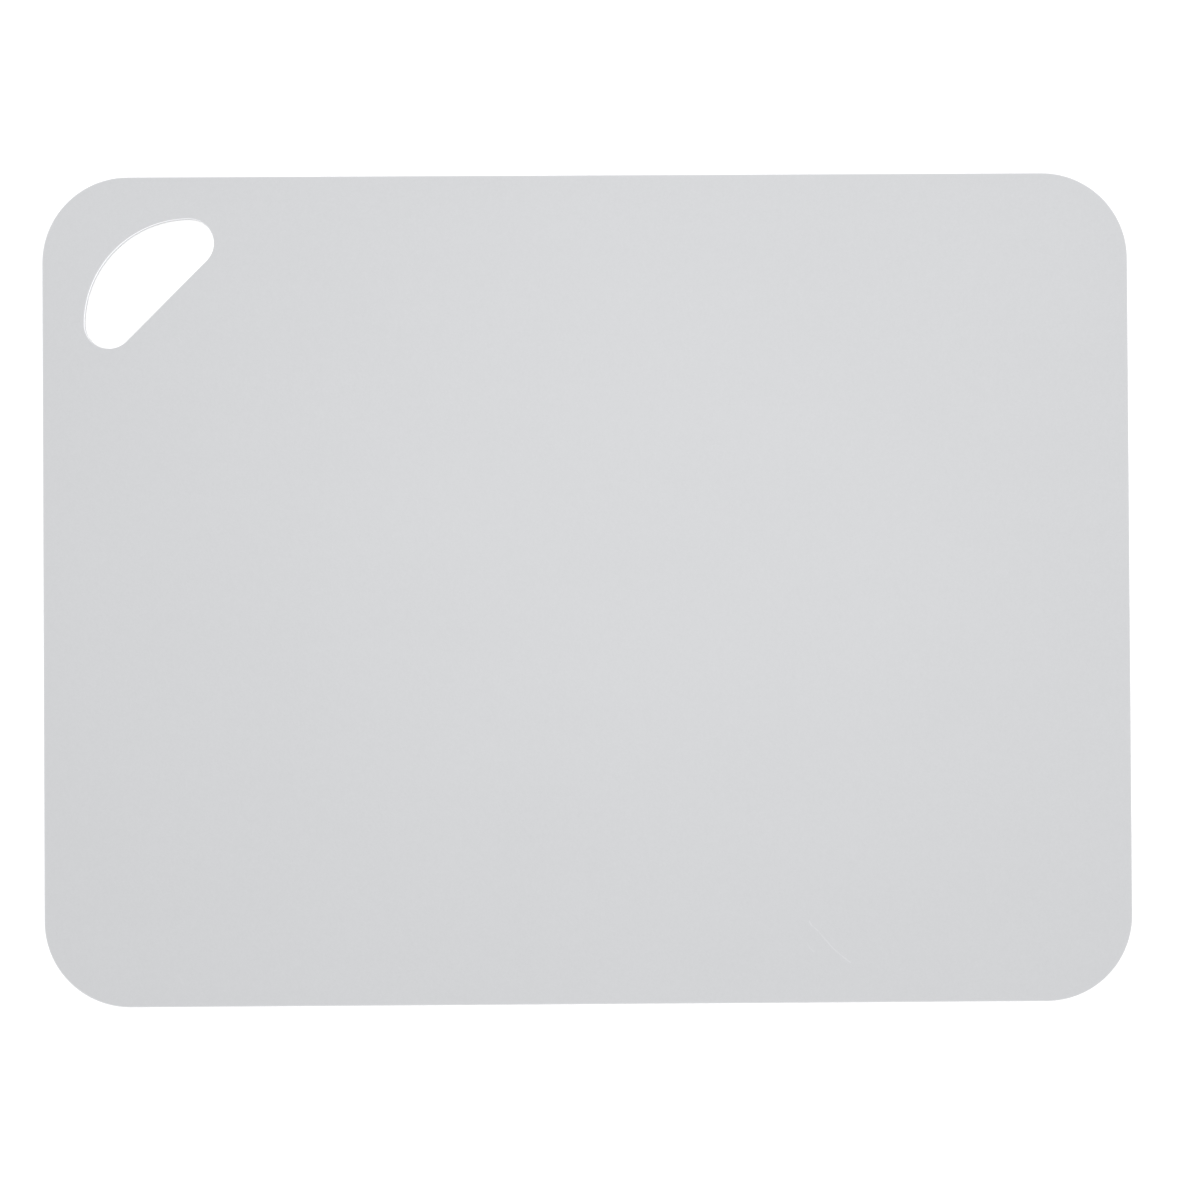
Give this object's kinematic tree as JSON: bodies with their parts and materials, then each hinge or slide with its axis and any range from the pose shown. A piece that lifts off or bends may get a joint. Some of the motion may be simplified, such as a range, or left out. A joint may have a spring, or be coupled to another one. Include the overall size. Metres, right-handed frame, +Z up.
{
  "type": "flexible cutting mat",
  "caption": "Thin flexible rectangular cutting mat with rounded corners and a quarter-round finger slot through a corner; its long edges curl up into a chute.",
  "frame": {"origin": "on the supporting surface, under the middle of the flat mat", "axes": "+X along the long side, +Y along the short side towards the edge with the finger slot, +Z up out of the cutting face; the finger slot is in the -X, +Y corner"},
  "size_m": [0.38, 0.29, 0.002],
  "materials": {
    "sheet": "pale cool grey soft polyethylene with a fine matt moulded grain on both faces"
  },
  "bodies": {
    "middle": {"middle_band": "sheet"},
    "front_1": {"front_band_1": "sheet"},
    "front_2": {"front_band_2": "sheet"},
    "front_3": {"front_band_3": "sheet"},
    "front_panel": {"front_edge": "sheet"},
    "back_1": {"back_band_1": "sheet"},
    "back_2": {"back_band_2": "sheet"},
    "back_3": {"back_band_3": "sheet"},
    "back_panel": {"back_edge": "sheet"}
  },
  "joints": [
    {"name": "front_curl", "type": "hinge", "parent": "middle", "child": "front_1", "pos_m": [0, -0.0105, 0.001], "axis": [-1, 0, 0], "range_deg": [0, 22.5], "stiffness_Nm_per_rad": 3},
    {"name": "front_curl_2", "type": "hinge", "parent": "front_1", "child": "front_2", "pos_m": [0, -0.0315, 0.001], "axis": [-1, 0, 0], "range_deg": [0, 22.5], "stiffness_Nm_per_rad": 3},
    {"name": "front_curl_3", "type": "hinge", "parent": "front_2", "child": "front_3", "pos_m": [0, -0.0525, 0.001], "axis": [-1, 0, 0], "range_deg": [0, 22.5], "stiffness_Nm_per_rad": 3},
    {"name": "front_curl_4", "type": "hinge", "parent": "front_3", "child": "front_panel", "pos_m": [0, -0.0735, 0.001], "axis": [-1, 0, 0], "range_deg": [0, 22.5], "stiffness_Nm_per_rad": 3},
    {"name": "back_curl", "type": "hinge", "parent": "middle", "child": "back_1", "pos_m": [0, 0.0105, 0.001], "axis": [1, 0, 0], "range_deg": [0, 22.5], "stiffness_Nm_per_rad": 3},
    {"name": "back_curl_2", "type": "hinge", "parent": "back_1", "child": "back_2", "pos_m": [0, 0.0315, 0.001], "axis": [1, 0, 0], "range_deg": [0, 22.5], "stiffness_Nm_per_rad": 3},
    {"name": "back_curl_3", "type": "hinge", "parent": "back_2", "child": "back_3", "pos_m": [0, 0.0525, 0.001], "axis": [1, 0, 0], "range_deg": [0, 22.5], "stiffness_Nm_per_rad": 3},
    {"name": "back_curl_4", "type": "hinge", "parent": "back_3", "child": "back_panel", "pos_m": [0, 0.0735, 0.001], "axis": [1, 0, 0], "range_deg": [0, 22.5], "stiffness_Nm_per_rad": 3}
  ],
  "couplings": [
    {"joint": "front_curl_2", "follows": "front_curl", "ratio": 1},
    {"joint": "front_curl_3", "follows": "front_curl", "ratio": 1},
    {"joint": "front_curl_4", "follows": "front_curl", "ratio": 1},
    {"joint": "back_curl_2", "follows": "back_curl", "ratio": 1},
    {"joint": "back_curl_3", "follows": "back_curl", "ratio": 1},
    {"joint": "back_curl_4", "follows": "back_curl", "ratio": 1}
  ]
}
